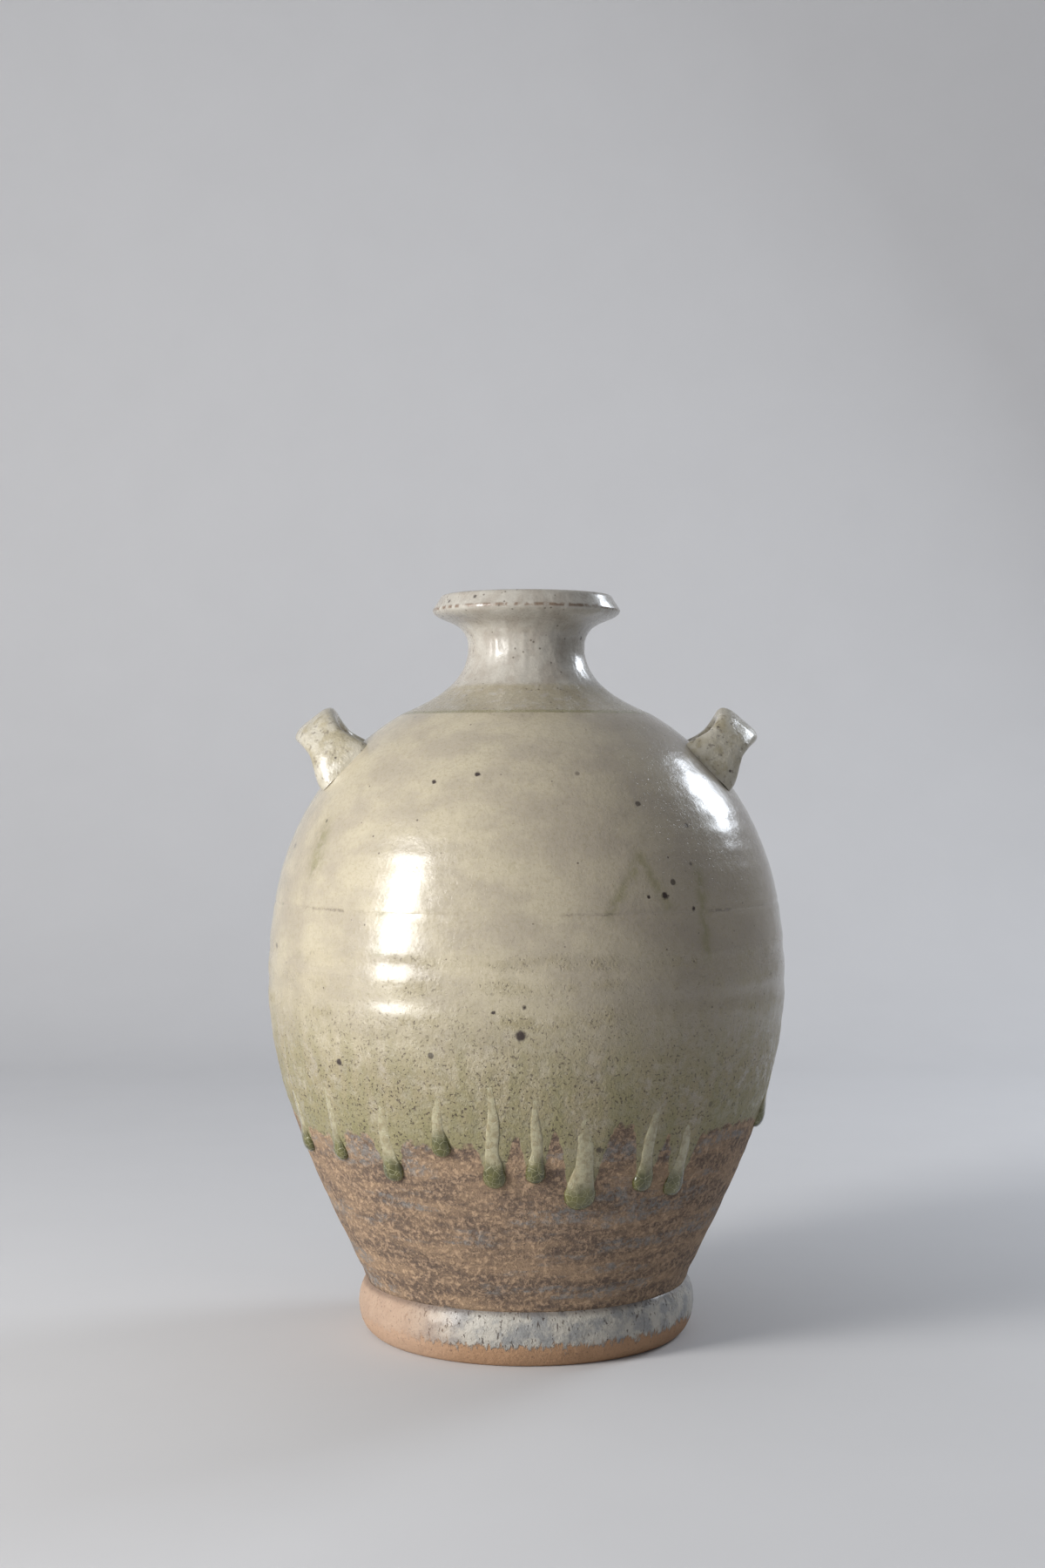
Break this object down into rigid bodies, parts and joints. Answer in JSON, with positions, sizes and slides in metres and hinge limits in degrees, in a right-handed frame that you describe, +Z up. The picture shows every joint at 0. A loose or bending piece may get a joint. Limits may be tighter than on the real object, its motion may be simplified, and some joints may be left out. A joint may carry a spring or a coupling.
{
  "type": "double handled bottle vase",
  "caption": "Stoneware bottle vase with a full round body, short flared neck, strap handles on the shoulder, a rolled foot ring and beaded glaze runs.",
  "frame": {"origin": "centre of the foot ring's resting plane, on the axis of the bottle", "axes": "+Z up along the axis of the bottle; -Y is the front; the two handles stand on the +X and -X sides"},
  "size_m": [0.2118, 0.2118, 0.3],
  "materials": {
    "foot_clay": "bare gritty clay with grey glaze tears",
    "body_glaze": "satin cream to olive ash glaze",
    "neck_glaze": "glossy speckled grey-white glaze",
    "handle_glaze": "glossy grey glaze",
    "run_glaze": "glassy olive green crackled beads"
  },
  "bodies": {
    "root": {"foot_ring": "foot_clay", "lower_body": "body_glaze", "upper_body": "body_glaze", "neck_and_rim": "neck_glaze", "right_handle": "handle_glaze", "left_handle": "handle_glaze", "glaze_run_01": "run_glaze", "glaze_run_02": "run_glaze", "glaze_run_03": "run_glaze", "glaze_run_04": "run_glaze", "glaze_run_05": "run_glaze", "glaze_run_06": "run_glaze", "glaze_run_07": "run_glaze", "glaze_run_08": "run_glaze", "glaze_run_09": "run_glaze", "glaze_run_10": "run_glaze", "glaze_run_11": "run_glaze", "glaze_run_12": "run_glaze", "glaze_run_13": "run_glaze", "glaze_run_14": "run_glaze", "glaze_run_15": "run_glaze", "glaze_run_16": "run_glaze"}
  },
  "joints": []
}
